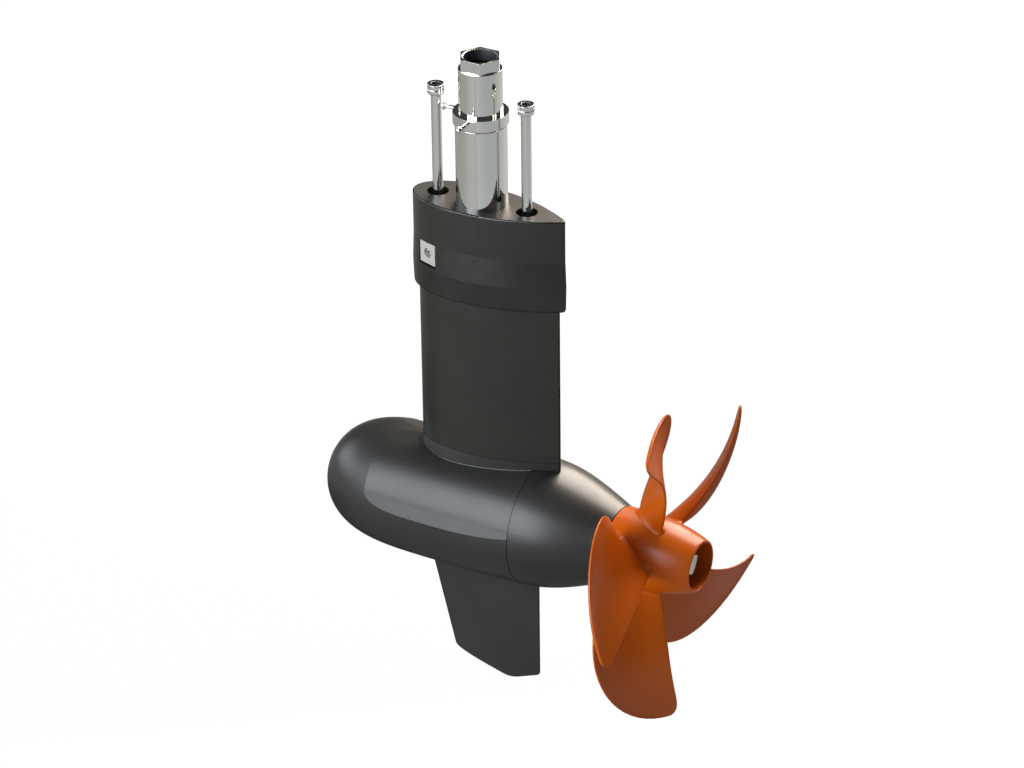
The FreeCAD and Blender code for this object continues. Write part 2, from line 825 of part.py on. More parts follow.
def race_outer(x, width, bore, radius, wall):
    # outer race with a thin shield on each side, which runs clear of the inner race
    back = x + width
    inside = radius - wall
    edge = bore + wall + shield_clearance
    fore = (x + shield_inset, x + shield_inset + shield_thickness)
    aft = (back - shield_inset - shield_thickness, back - shield_inset)
    return turned_pod([
        (x, radius), (x, inside), (fore[0], inside), (fore[0], edge), (fore[1], edge),
        (fore[1], inside), (aft[0], inside), (aft[0], edge), (aft[1], edge), (aft[1], inside),
        (back, inside), (back, radius)])


def front_bearing_outer():
    return race_outer(front_bearing_x, front_bearing_width, front_journal_radius,
                      front_bearing_radius, front_race_wall)


def front_bearing_inner():
    return disc(front_bearing_x, front_bearing_width, front_journal_radius + front_race_wall,
                front_journal_radius)


def rear_bearing_outer():
    return race_outer(rear_bearing_x, rear_bearing_width, shaft_radius, rear_bearing_radius,
                      rear_race_wall)


def rear_bearing_inner():
    return disc(rear_bearing_x, rear_bearing_width, shaft_radius + rear_race_wall, shaft_radius)


def shaft_seal():
    # outer wall, web and inner lip, open aft
    back = lip_x + lip_width
    bore = shaft_radius + lip_clearance
    return turned_pod([
        (lip_x, bore), (lip_x, lip_radius), (back, lip_radius), (back, lip_radius - lip_wall),
        (lip_x + lip_web, lip_radius - lip_wall), (lip_x + lip_web, bore + lip_web),
        (back, bore + lip_web), (back, bore)])


def controller_board():
    board = disc(board_x, board_thickness, board_radius)
    hole = disc(board_x, board_thickness, post_stud_radius)
    hole.translate(V(0, 0, post_circle))
    can = disc(board_x - capacitor_height, capacitor_height, capacitor_radius)
    can.translate(V(0, 0, capacitor_circle))
    turns = [360 * i / post_count for i in range(post_count)]
    board = board.cut([around_pod(hole, turn + post_turn) for turn in turns])
    return board.fuse([around_pod(can, turn) for turn in turns])


def board_posts():
    foot = board_x + board_thickness
    post = disc(foot, web_x - foot, post_radius)
    post = post.fuse(disc(board_x, board_thickness, post_stud_radius))
    post.translate(V(0, 0, post_circle))
    return group([around_pod(post, 360 * i / post_count + post_turn) for i in range(post_count)])


# Rotor

def motor_shaft():
    journal_end = front_bearing_x + front_bearing_width
    shoulder = hub_web_end - run_gap
    nut_end = hub_web_end + washer_thickness + nut_length - nut_cap
    body = turned_pod([
        (front_bearing_x - shaft_overrun, 0), (front_bearing_x - shaft_overrun, front_journal_radius),
        (journal_end, front_journal_radius), (journal_end, shaft_radius),
        (hub_front, shaft_radius), (hub_front, hub_seat_radius),
        (shoulder, hub_seat_radius), (shoulder, thread_radius),
        (nut_end, thread_radius), (nut_end, 0)])
    return body.cut(drive_pin())


def rotor_core():
    return disc(stator_front + rotor_end_inset, stator_length - 2 * rotor_end_inset,
                core_radius, shaft_radius)


def rotor_magnets():
    start = stator_front + rotor_end_inset
    half = math.radians(180 / magnet_count - magnet_gap_angle / 2)

    def at(radius, angle):
        return V(start, radius * math.sin(angle), pod_z + radius * math.cos(angle))

    edges = [Part.Arc(*[at(magnet_radius, a) for a in (-half, 0, half)]).toShape(),
             Part.makeLine(at(magnet_radius, half), at(core_radius, half)),
             Part.Arc(*[at(core_radius, a) for a in (half, 0, -half)]).toShape(),
             Part.makeLine(at(core_radius, -half), at(magnet_radius, -half))]
    magnet = Part.Face(Part.Wire(edges)).extrude(V(stator_length - 2 * rotor_end_inset, 0, 0))
    return group([around_pod(magnet, 360 * i / magnet_count) for i in range(magnet_count)])


def drive_pin():
    return Part.makeCylinder(drive_pin_d / 2, drive_pin_length,
                             V(hub_front + drive_pin_inset, 0, pod_z - drive_pin_length / 2))


def hub_solid():
    front, back = hub_handles
    curve = bezier([
        on_pod(hub_front, tail_end_radius),
        on_pod(hub_front + front, tail_end_radius - hub_front_slope * front),
        on_pod(hub_back - back, hub_back_radius + hub_back_slope * back),
        on_pod(hub_back, hub_back_radius)])
    edges = [curve, Part.makeLine(on_pod(hub_back, hub_back_radius), on_pod(hub_back, 0)),
             Part.makeLine(on_pod(hub_back, 0), on_pod(hub_front, 0)),
             Part.makeLine(on_pod(hub_front, 0), on_pod(hub_front, tail_end_radius))]
    return spun_on_pod(edges)


def law(terms, t):
    return sum(term * t ** power for power, term in enumerate(terms))


def blade_chord(t, share):
    # full chord from the three stated ones, its tip rounded; then the cut at the trailing corner
    root, middle, tip = blade_chords
    full = root * (1 - t) * (1 - 2 * t) + 4 * middle * t * (1 - t) + tip * t * (2 * t - 1)
    reach = share * tip_closure
    trim = full * blade_tail_trim * (1 - math.sqrt(1 - reach ** blade_tail_power))
    return full * math.sqrt(1 - reach ** blade_tip_power) - trim, trim


def blade_section(radius):
    # two rows of points, suction side and pressure side, from trailing to leading edge
    low, high = blade_law_radii
    t = (radius - low) / (high - low)
    share = min(1.0, max(0.0, (radius - low) / (blade_tip_radius - low)))
    chord, trim = blade_chord(t, share)
    pitch = math.atan(law(blade_pitch, t) / (2 * math.pi * radius))
    tail_angle = math.radians(law(blade_skew, t))
    tail_x = hub_front + law(blade_back, t)
    rows = ([], [])
    last = blade_chord_points - 1
    for i in range(blade_chord_points):
        u = 0.5 - 0.5 * math.cos(math.pi * i / last)
        along = trim + u * chord
        bow = 4 * u * (1 - u)
        mean = law(blade_camber, share) * chord * bow
        half = 0.5 * law(blade_thickness, share) * math.sqrt(bow)
        for row, offset in ((rows[0], mean + half), (rows[1], mean - half)):
            x = tail_x - along * math.sin(pitch) - offset * math.cos(pitch)
            arc = -along * math.cos(pitch) + offset * math.sin(pitch)
            angle = tail_angle + arc / radius
            row.append(V(x, -radius * math.sin(angle), pod_z + radius * math.cos(angle)))
    return rows


def blade_wire(radius):
    edges = []
    for row in blade_section(radius):
        curve = Part.BSplineCurve()
        curve.interpolate(row)
        edges.append(curve.toShape())
    edges[1].reverse()
    return Part.Wire(edges)


def blade():
    wires = []
    for i in range(blade_stations):
        # stations crowd towards the tip, where the outline turns
        share = math.sin(math.pi / 2 * i / (blade_stations - 1))
        wires.append(blade_wire(blade_root_radius + share * (blade_tip_radius - blade_root_radius)))
    side = Part.makeLoft(wires, False)
    caps = [Part.makeRuledSurface(w.Edges[0], w.Edges[1]) for w in (wires[0], wires[-1])]
    solid = Part.Solid(Part.Shell(side.Faces + caps))
    if solid.Volume < 0:
        solid.reverse()
    return solid


def propeller():
    body = hub_solid()
    one = blade()
    for i in range(blade_count):
        body = body.fuse(around_pod(one, 360 * i / blade_count))
    body = body.cut(disc(hub_web_end, hub_hollow_depth, hub_back_radius - hub_rim))
    body = body.cut(disc(hub_front, hub_web_end - hub_front, hub_seat_radius + slide_fit))
    return body.cut(drive_pin())


def prop_washer():
    return disc(hub_web_end, washer_thickness, washer_radius, thread_radius + loose_fit)


def prop_nut():
    start = hub_web_end + washer_thickness
    body = hexagon(nut_flats, nut_length, on_pod(start, 0), V(1, 0, 0))
    body = body.common(disc(start, nut_length, nut_flats / math.sqrt(3) - nut_chamfer))
    return body.cut(disc(start, nut_length - nut_cap, thread_radius))


makers = [
    stem_tube, stem_seal, hull_sleeve, ring_nut, lock_screws, hull_bolts, bolt_inserts,
    head_block, top_skirt, anode_plate, anode_screw, strut_column, column_screws, strut_gasket,
    pod_housing, cable_gland, tail_cone, seam_seal, skeg, skeg_screws, stator_core,
    stator_windings, front_end_bell, front_bearing_outer, front_bearing_inner,
    rear_bearing_outer, rear_bearing_inner, shaft_seal, controller_board, board_posts,
    motor_shaft, rotor_core, rotor_magnets, drive_pin, propeller, prop_washer, prop_nut]

os.makedirs("parts", exist_ok=True)
for make in makers:
    shape = make()
    name = make.__name__
    print(name, "solids", len(shape.Solids), "valid", shape.isValid(), round(shape.Volume))
    shape.exportStep(os.path.join("parts", name + ".step"))
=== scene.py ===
import bpy
import bmesh
import json
import math
from mathutils import Matrix, Vector
from mathutils.geometry import interpolate_bezier


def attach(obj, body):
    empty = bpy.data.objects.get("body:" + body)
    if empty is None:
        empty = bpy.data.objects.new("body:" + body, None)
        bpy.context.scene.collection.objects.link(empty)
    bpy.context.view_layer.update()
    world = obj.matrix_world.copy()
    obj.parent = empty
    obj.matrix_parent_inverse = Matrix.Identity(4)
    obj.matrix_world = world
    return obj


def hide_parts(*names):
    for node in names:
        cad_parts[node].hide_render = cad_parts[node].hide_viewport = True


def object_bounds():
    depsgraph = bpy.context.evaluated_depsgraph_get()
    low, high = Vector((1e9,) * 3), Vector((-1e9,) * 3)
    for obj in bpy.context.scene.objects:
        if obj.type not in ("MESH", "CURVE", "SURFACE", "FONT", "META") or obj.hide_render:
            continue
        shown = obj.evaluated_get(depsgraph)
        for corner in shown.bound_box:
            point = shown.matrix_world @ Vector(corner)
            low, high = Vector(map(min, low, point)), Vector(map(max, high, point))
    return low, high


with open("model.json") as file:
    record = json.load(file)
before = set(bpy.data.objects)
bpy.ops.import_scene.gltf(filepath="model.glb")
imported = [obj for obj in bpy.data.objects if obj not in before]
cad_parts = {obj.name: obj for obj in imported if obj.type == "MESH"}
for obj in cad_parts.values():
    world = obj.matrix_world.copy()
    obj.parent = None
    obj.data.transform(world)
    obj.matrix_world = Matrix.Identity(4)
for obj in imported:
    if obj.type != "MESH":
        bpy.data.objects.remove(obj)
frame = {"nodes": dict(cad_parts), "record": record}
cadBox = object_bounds()
nodes = frame["nodes"]
scene = bpy.context.scene
mm = 0.001
podZ = -0.3318              # height of the propeller shaft's axis
print("frame loaded:", len(nodes), "nodes")


# Small tools

def hexColour(text):
    # sRGB hex to the linear colour that shaders use
    levels = [int(text[i:i + 2], 16) / 255 for i in (1, 3, 5)]
    linear = [c / 12.92 if c <= 0.04045 else ((c + 0.055) / 1.055) ** 2.4 for c in levels]
    return (*linear, 1.0)


def addNode(tree, kind, settings=None, links=None):
    # a shader node with its settings (attributes or socket values) and its incoming links,
    # each from a socket or from another node's first output
    node = tree.nodes.new(kind)
    for key, value in (settings or {}).items():
        if isinstance(key, str) and hasattr(node, key):
            setattr(node, key, value)
        else:
            node.inputs[key].default_value = value
    for key, source in (links or {}).items():
        socket = source.outputs[0] if isinstance(source, bpy.types.Node) else source
        tree.links.new(socket, node.inputs[key])
    return node


def newMaterial(name):
    # a material with an empty node tree
    material = bpy.data.materials.new(name)
    material.use_nodes = True
    material.node_tree.nodes.clear()
    return material, material.node_tree


def perMetre(sizeMm):
    # texture scale that gives a pattern of this size
    return 1000.0 / sizeMm


# Camera, at the photograph's own angle

camera = {
    "azimuth": 30.67,          # degrees round from straight abeam
    "elevation": 28.40,
    "roll": -0.70,
    "distance": 3.63415,       # metres from the hull seat
    "right": 0.02809,
    "up": -0.17227,
    "lens": 135.55,
    "clip": (0.1, 50.0),
}


def makeCamera(c):
    a, e, r = (math.radians(c[k]) for k in ("azimuth", "elevation", "roll"))
    back = Vector((math.sin(a) * math.cos(e), -math.cos(a) * math.cos(e), math.sin(e)))
    right = Vector((math.cos(a), math.sin(a), 0))
    up = back.cross(right)
    rolledRight = right * math.cos(r) + up * math.sin(r)
    rolledUp = up * math.cos(r) - right * math.sin(r)
    data = bpy.data.cameras.new("photoCamera")
    data.lens = c["lens"]
    data.clip_start, data.clip_end = c["clip"]
    eye = bpy.data.objects.new("photoCamera", data)
    scene.collection.objects.link(eye)
    turn = Matrix((rolledRight, rolledUp, back)).transposed()
    place = rolledRight * c["right"] + rolledUp * c["up"] + back * c["distance"]
    eye.matrix_world = Matrix.Translation(place) @ turn.to_4x4()
    scene.camera = eye


makeCamera(camera)


# Studio: a pale floor with painted shade and light, a low soft box to port, a dim one ahead and a
# large warm one behind

studio = {
    "floorZ": -0.78,
    "floorSize": 14.0,
    "floorColour": "#cbcbc8",
    "floorGlow": 0.98,         # what the camera sees on top of the lit floor
    "floorShine": 0.36,        # the same for reflections
    "roomColour": "#f4f6f8",
    "surround": 0.065,         # what mirrors see of the room
    "fill": 0.15,              # what matt skins get from it besides
    # painted warm and cool tints of the floor's shine in mirrors
    "warmPaintedShine": "#f3efe6", "coolPaintedShine": "#eef6fb",
    "corner": 12.0,            # degrees round to where the floor's painted shine turns from warm to cool
    "cornerBlur": 0.01, "sinkWidth": 0.9, "sink": 0.74,    # radians, radians and depth of the painted shade before the turn
    # painted light and shade on parts of the floor, each with from, to and depth: metres away
    # from the object for shade and dusk, metres aft of it for fade, pool and aft
    # shade paints the floor darker near the object, fade paints it darker towards the front
    "shade": (0.1, 1.1, 0.42),
    "fade": (-1.5, 0.7, 0.36),
    "pool": (0.1, 0.8, 0.25),  # a painted pool of light behind the propeller, which mirrors don't see
    "dusk": (2.1, 2.9, 0.2), "aft": (0.3, 0.8),    # painted shade on the far floor behind, in mirrors
    # painted shade in a lee: degrees round, from and to that way, depth, and where it ends
    "lee": (-140.0, 0.05, 0.35, 0.85, 1.0, 1.5),
    "starboardLee": (172.0, 0.7, 1.0, 0.85, 1.35, 1.6),    # painted shade in mirrors alone
    "sideBox": {"round": -18, "height": 19, "away": 2.6, "size": (2.15, 2.3),
                "power": 118.0, "colour": "#f0f6ff"},
    "foreBox": {"round": -76, "height": 14, "away": 2.6, "size": (2.3, 1.05),
                "power": 29.0, "colour": "#f0f6ff"},
    "backBox": {"round": 179, "height": 40, "away": 2.6, "size": (1.65, 2.4),
                "power": 180.0, "colour": "#fff2e2"},
}


def makeBox(name, box, target):
    # round is degrees from port towards aft
    a, e = math.radians(box["round"]), math.radians(box["height"])
    toward = Vector((math.sin(a) * math.cos(e), -math.cos(a) * math.cos(e), math.sin(e)))
    data = bpy.data.lights.new(name, "AREA")
    data.shape = "RECTANGLE"
    data.size, data.size_y = box["size"]
    data.energy = box["power"]
    data.color = hexColour(box["colour"])[:3]
    lamp = bpy.data.objects.new(name, data)
    scene.collection.objects.link(lamp)
    lamp.location = target + toward * box["away"]
    lamp.rotation_mode = "QUATERNION"
    lamp.rotation_quaternion = (-toward).to_track_quat("-Z", "Y")


def leeLight(tree, where, away, lee):
    # the share of the floor's light that a lee's painted shade leaves
    turn, start, end, depth, near, far = lee
    toward = (math.sin(math.radians(turn)), -math.cos(math.radians(turn)), 0)
    along = addNode(tree, "ShaderNodeVectorMath", {"operation": "DOT_PRODUCT", 1: toward},
                    {0: where})
    inside = addNode(tree, "ShaderNodeMapRange", {"From Min": start, "From Max": end},
                     {"Value": along.outputs["Value"]})
    loss = addNode(tree, "ShaderNodeMapRange", {"From Min": near, "From Max": far,
                   "To Min": -depth, "To Max": 0.0}, {"Value": away})
    return addNode(tree, "ShaderNodeMath", {"operation": "MULTIPLY_ADD", 2: 1.0},
                   {0: inside, 1: loss})


def floorLight(tree, s, path):
    # the painted light and shade on each part of the floor, lit and in mirrors, and the painted
    # hue of its shine
    place = addNode(tree, "ShaderNodeTexCoord").outputs["Object"]
    where = addNode(tree, "ShaderNodeVectorMath", {"operation": "MULTIPLY", 1: (1, 1, 0)},
                    {0: place})
    away = addNode(tree, "ShaderNodeVectorMath", {"operation": "LENGTH"},
                   {0: where}).outputs["Value"]
    split = addNode(tree, "ShaderNodeSeparateXYZ", None, {0: where})
    x = split.outputs["X"]
    port = addNode(tree, "ShaderNodeMath", {"operation": "MULTIPLY", 1: -1.0},
                   {0: split.outputs["Y"]})
    part = {name: leeLight(tree, where, away, s[name]) for name in ("lee", "starboardLee")}
    for name, value in (("shade", away), ("fade", x), ("pool", x)):
        start, end, depth = s[name]
        part[name] = addNode(tree, "ShaderNodeMapRange", {"From Min": start, "From Max": end,
                             "To Min": depth}, {"Value": value})
    part["pool"] = addNode(tree, "ShaderNodeMix", {"data_type": "FLOAT", 3: s["pool"][2]},
                           {0: path.outputs["Is Glossy Ray"], 2: part["pool"]})
    start, end, depth = s["dusk"]
    loss = addNode(tree, "ShaderNodeMapRange", {"From Min": start, "From Max": end,
                   "To Max": depth - 1.0}, {"Value": away})
    start, end = s["aft"]
    aft = addNode(tree, "ShaderNodeMapRange", {"From Min": start, "From Max": end}, {"Value": x})
    part["dusk"] = addNode(tree, "ShaderNodeMath", {"operation": "MULTIPLY_ADD", 2: 1.0},
                           {0: aft, 1: loss})
    corner = math.radians(s["corner"])
    turn = addNode(tree, "ShaderNodeMath", {"operation": "ARCTAN2"}, {0: x, 1: port})
    cool = addNode(tree, "ShaderNodeMapRange", {"From Min": corner - s["cornerBlur"],
                   "From Max": corner + s["cornerBlur"]}, {"Value": turn})
    sink = addNode(tree, "ShaderNodeMapRange", {"From Min": corner - s["sinkWidth"],
                   "From Max": corner, "To Min": 1.0, "To Max": s["sink"]}, {"Value": turn})
    part["corner"] = addNode(tree, "ShaderNodeMix", {"data_type": "FLOAT", 3: 1.0},
                             {0: cool, 2: sink})
    light = []
    for names in (("shade", "lee", "fade", "pool"),
                  ("shade", "lee", "dusk", "starboardLee", "corner")):
        total = part[names[0]]
        for name in names[1:]:
            total = addNode(tree, "ShaderNodeMath", {"operation": "MULTIPLY"},
                            {0: total, 1: part[name]})
        light.append(total)
    hue = addNode(tree, "ShaderNodeMix", {"data_type": "RGBA", 6: hexColour(s["warmPaintedShine"]),
                  7: hexColour(s["coolPaintedShine"])}, {0: cool})
    return (*light, hue.outputs[2])


def makeFloor(s):
    bm = bmesh.new()
    bmesh.ops.create_grid(bm, x_segments=1, y_segments=1, size=s["floorSize"] / 2)
    bmesh.ops.translate(bm, verts=bm.verts, vec=(0, 0, s["floorZ"]))
    mesh = bpy.data.meshes.new("studioFloor")
    bm.to_mesh(mesh)
    bm.free()
    floor = bpy.data.objects.new("studioFloor", mesh)
    scene.collection.objects.link(floor)
    material, tree = newMaterial("paleFloor")
    path = addNode(tree, "ShaderNodeLightPath")
    lit, shine, hue = floorLight(tree, s, path)
    # the floor's colour, with its painted shade and painted pool of light
    paintedFloorTone = addNode(tree, "ShaderNodeMix", {"data_type": "RGBA", 6: (0, 0, 0, 1),
                   7: hexColour(s["floorColour"])}, {0: lit})
    matt = addNode(tree, "ShaderNodeBsdfDiffuse", None, {"Color": paintedFloorTone.outputs[2]})
    # the floor's shine in mirrors, with its painted shade and its painted warm and cool hue
    mirrored = addNode(tree, "ShaderNodeMath", {"operation": "MAXIMUM"},
                       {0: path.outputs["Is Glossy Ray"], 1: path.outputs["Is Transmission Ray"]})
    shown = addNode(tree, "ShaderNodeMath", {"operation": "MULTIPLY", 1: s["floorShine"]},
                    {0: mirrored})
    shown = addNode(tree, "ShaderNodeMath", {"operation": "MULTIPLY"}, {0: shown, 1: shine})
    glow = addNode(tree, "ShaderNodeMath", {"operation": "MULTIPLY_ADD", 1: s["floorGlow"]},
                   {0: path.outputs["Is Camera Ray"], 2: shown})
    seen = addNode(tree, "ShaderNodeMix", {"data_type": "RGBA", 7: (1, 1, 1, 1)},
                   {0: path.outputs["Is Camera Ray"], 6: hue})
    light = addNode(tree, "ShaderNodeEmission", None,
                    {"Color": seen.outputs[2], "Strength": glow})
    both = addNode(tree, "ShaderNodeAddShader", None, {0: matt, 1: light})
    addNode(tree, "ShaderNodeOutputMaterial", None, {"Surface": both})
    mesh.materials.append(material)


def makeSurround(s):
    world = bpy.data.worlds.new("studioSurround")
    scene.world = world
    world.use_nodes = True
    tree = world.node_tree
    tree.nodes.clear()
    path = addNode(tree, "ShaderNodeLightPath")
    room = addNode(tree, "ShaderNodeMath", {"operation": "MULTIPLY_ADD", 1: -s["fill"],
                   2: s["surround"] + s["fill"]}, {0: path.outputs["Is Glossy Ray"]})
    soft = addNode(tree, "ShaderNodeBackground", {"Color": hexColour(s["roomColour"])},
                   {"Strength": room})
    white = addNode(tree, "ShaderNodeBackground", {"Color": (1, 1, 1, 1), "Strength": 1.0})
    pick = addNode(tree, "ShaderNodeMixShader", None,
                   {0: path.outputs["Is Camera Ray"], 1: soft, 2: white})
    addNode(tree, "ShaderNodeOutputWorld", None, {"Surface": pick})
    scene.view_settings.view_transform = "Standard"


centre = (cadBox[0] + cadBox[1]) / 2
for name in ("sideBox", "foreBox", "backBox"):
    makeBox(name, studio[name], centre)
makeFloor(studio)
makeSurround(studio)
print("camera and studio ready")


# Finishes. Grain, fibres, sheets and tool marks that are finer than the camera can tell are
# drawn as coarse as they need to be to show.

noiseRange = (0.3, 0.7)     # nearly all of a noise texture's values lie between these
noiseRoughness = 0.55
bandsPerMetre = 3.14        # about what a wave texture of scale 1 draws


def spotted(tree, sizeMm, low, high, detail=3.0, stretch=None):
    # noise of this size on Object coordinates, spread between two values
    place = addNode(tree, "ShaderNodeTexCoord").outputs["Object"]
    if stretch:
        place = addNode(tree, "ShaderNodeMapping", {"Scale": stretch}, {"Vector": place})
    noise = addNode(tree, "ShaderNodeTexNoise",
                    {"Scale": perMetre(sizeMm), "Detail": detail,
                     "Roughness": noiseRoughness}, {"Vector": place})
    least, most = noiseRange
    return addNode(tree, "ShaderNodeMapRange",
                   {"From Min": least, "From Max": most, "To Min": low, "To Max": high},
                   {"Value": noise.outputs["Fac"]})


def clouded(tree, dark, light, sizeMm, detail=3.0, stretch=None):
    # a colour that drifts between two tones in clouds of this size
    cloud = spotted(tree, sizeMm, 0.0, 1.0, detail, stretch)
    return addNode(tree, "ShaderNodeMix", {"data_type": "RGBA", 6: hexColour(dark),
                   7: hexColour(light)}, {0: cloud}).outputs[2]


def grained(tree, layers, normal=None):
    # a skin's fine relief: each layer has a size and a depth in mm, a detail and a stretch
    for sizeMm, depthMm, detail, stretch in layers:
        links = {"Height": spotted(tree, sizeMm, 0.0, 1.0, detail, stretch)}
        if normal:
            links["Normal"] = normal
        normal = addNode(tree, "ShaderNodeBump", {"Distance": depthMm * mm, "Strength": 1.0},
                         links)
    return normal


def finished(material, tree, settings, links):
    # the material with its shader, whose even values are in settings
    shader = addNode(tree, "ShaderNodeBsdfPrincipled", settings, links)
    addNode(tree, "ShaderNodeOutputMaterial", None, {"Surface": shader})
    return material


def satinBlackPaint():
    # sprayed satin black polyurethane on cast aluminium: a soft wide highlight with a fine
    # powdery grain, drawn coarse, and a faint orange peel that shows where the light turns
    material, tree = newMaterial("satinBlackPaint")
    return finished(material, tree, {"IOR": 1.5}, {
        "Base Color": clouded(tree, "#20201f", "#252523", 60.0),
        "Roughness": spotted(tree, 25.0, 0.34, 0.39),
        "Normal": grained(tree, [(7.0, 0.006, 1.0, None), (0.9, 0.010, 2.0, None)])})


columnCoat = {
    "tones": ("#191a15", "#1e1f1a"), "cloudSize": 50.0,
    "gloss": (0.26, 0.31), "glossSize": 20.0,
    # the seat's lighter tone is painted top light; its roughness is the coat's
    "seatToneAndSheen": "#242321", "seatRoughness": 0.42,
    "seatHeight": -0.5, "seatFacing": (0.8, 0.98),     # the seat lies above this and looks up
}


def columnPaint(c):
    # the same paint on the column, a shade warmer and glossier; the milled seat on top, which
    # looks up, has a rougher coat and a lighter tone that is painted top light
    material, tree = newMaterial("columnPaint")
    where = addNode(tree, "ShaderNodeTexCoord").outputs["Object"]
    height = addNode(tree, "ShaderNodeSeparateXYZ", None, {0: where}).outputs["Z"]
    facing = addNode(tree, "ShaderNodeNewGeometry").outputs["Normal"]
    upward = addNode(tree, "ShaderNodeSeparateXYZ", None, {0: facing}).outputs["Z"]
    level = addNode(tree, "ShaderNodeMath", {"operation": "GREATER_THAN",
                    1: c["seatHeight"] * mm}, {0: height})
    least, most = c["seatFacing"]
    flat = addNode(tree, "ShaderNodeMapRange", {"From Min": least, "From Max": most},
                   {"Value": upward})
    seat = addNode(tree, "ShaderNodeMath", {"operation": "MULTIPLY"}, {0: level, 1: flat})
    coat = clouded(tree, *c["tones"], c["cloudSize"])
    # painted top light: a lighter tone on the up-facing seat
    colour = addNode(tree, "ShaderNodeMix", {"data_type": "RGBA", 7: hexColour(c["seatToneAndSheen"])},
                     {0: seat, 6: coat})
    dryness = addNode(tree, "ShaderNodeMix", {"data_type": "FLOAT", 3: c["seatRoughness"]},
                      {0: seat, 2: spotted(tree, c["glossSize"], *c["gloss"])})
    return finished(material, tree, {"IOR": 1.5}, {
        "Base Color": colour.outputs[2], "Roughness": dryness,
        "Normal": grained(tree, [(0.8, 0.010, 2.0, None)])})


def sparkTexturedPlastic():
    # injection moulded black ASA with a spark eroded texture, drawn coarse: even and slightly
    # green
    material, tree = newMaterial("sparkTexturedPlastic")
    where = addNode(tree, "ShaderNodeTexCoord").outputs["Object"]
    cells = addNode(tree, "ShaderNodeTexVoronoi", {"Scale": perMetre(0.7)}, {"Vector": where})
    pits = addNode(tree, "ShaderNodeBump", {"Distance": 0.02 * mm, "Strength": 1.0},
                   {"Height": cells.outputs["Distance"]})
    return finished(material, tree, {"IOR": 1.5}, {
        "Base Color": clouded(tree, "#131511", "#181a16", 30.0),
        "Roughness": spotted(tree, 12.0, 0.27, 0.32),
        "Normal": grained(tree, [(0.5, 0.010, 2.0, None)], pits)})


steelMarks = {
    "boreRadius": 15.9, "mouthRadius": 16.75, "mouthDulled": 0.24,
    "boltOffset": 48.76, "socketRadius": 4.75, "dullRoughness": 0.5,
    # the dark grey of the bore and sockets is painted shade
    "tones": ("#dcddd9", "#e0e1dd"), "cloudSize": 30.0, "dullAndShaded": "#6f7478",
    "gloss": (0.045, 0.085), "glossSize": 18.0,
    "markWidth": 1.2, "markDepth": 0.002,
}


def polishedSteel(s):
    # polished stainless bar: a clear mirror with the faintest turning marks along the stem;
    # the stem's bore and the bolts' sockets are left as drawn and dull, in a dark grey that is
    # painted shade
    material, tree = newMaterial("polishedSteel")
    where = addNode(tree, "ShaderNodeTexCoord").outputs["Object"]
    flat = addNode(tree, "ShaderNodeVectorMath", {"operation": "MULTIPLY", 1: (1, 1, 0)},
                   {0: where})
    fromStem = addNode(tree, "ShaderNodeVectorMath", {"operation": "LENGTH"}, {0: flat})
    fromStem = fromStem.outputs["Value"]
    folded = addNode(tree, "ShaderNodeVectorMath", {"operation": "ABSOLUTE"}, {0: flat})
    offset = addNode(tree, "ShaderNodeVectorMath", {"operation": "SUBTRACT",
                     1: (s["boltOffset"] * mm, 0, 0)}, {0: folded})
    fromBolt = addNode(tree, "ShaderNodeVectorMath", {"operation": "LENGTH"}, {0: offset})
    bore = addNode(tree, "ShaderNodeMath", {"operation": "LESS_THAN", 1: s["boreRadius"] * mm},
                   {0: fromStem})
    socket = addNode(tree, "ShaderNodeMath", {"operation": "LESS_THAN",
                     1: s["socketRadius"] * mm}, {0: fromBolt.outputs["Value"]})
    dullAndShaded = addNode(tree, "ShaderNodeMath", {"operation": "MAXIMUM"}, {0: bore, 1: socket})
    mouth = addNode(tree, "ShaderNodeMath", {"operation": "LESS_THAN",
                    1: s["mouthRadius"] * mm}, {0: fromStem})
    gloss = addNode(tree, "ShaderNodeMath", {"operation": "MULTIPLY_ADD", 1: s["mouthDulled"]},
                    {0: mouth, 2: spotted(tree, s["glossSize"], *s["gloss"])})
    smudge = addNode(tree, "ShaderNodeMix", {"data_type": "FLOAT", 3: s["dullRoughness"]},
                     {0: dullAndShaded, 2: gloss})
    # painted shade: a dark grey inside the bore and the sockets
    colour = addNode(tree, "ShaderNodeMix", {"data_type": "RGBA", 7: hexColour(s["dullAndShaded"])},
                     {0: dullAndShaded, 6: clouded(tree, *s["tones"], s["cloudSize"])})
    along = addNode(tree, "ShaderNodeMapping", {"Scale": (0.02, 0.02, 1.0)}, {"Vector": where})
    marks = addNode(tree, "ShaderNodeTexNoise",
                    {"Scale": perMetre(s["markWidth"]), "Detail": 2.0}, {"Vector": along})
    lines = addNode(tree, "ShaderNodeBump", {"Distance": s["markDepth"] * mm, "Strength": 1.0},
                    {"Height": marks.outputs["Fac"]})
    return finished(material, tree, {"Metallic": 1.0}, {
        "Base Color": colour.outputs[2], "Roughness": smudge, "Normal": lines})


def orangeNylon():
    # moulded glass filled nylon in safety orange: satin skin, fibres that drift with the flow
    material, tree = newMaterial("orangeNylon")
    fibre, skin = (1.6, 0.005, 2.0, (1.0, 0.35, 1.0)), (0.8, 0.003, 2.0, None)
    return finished(material, tree, {"IOR": 1.36}, {
        "Base Color": clouded(tree, "#a84a00", "#ae4e01", 45.0, 2.0),
        "Roughness": spotted(tree, 14.0, 0.29, 0.35),
        "Normal": grained(tree, [fibre, skin])})


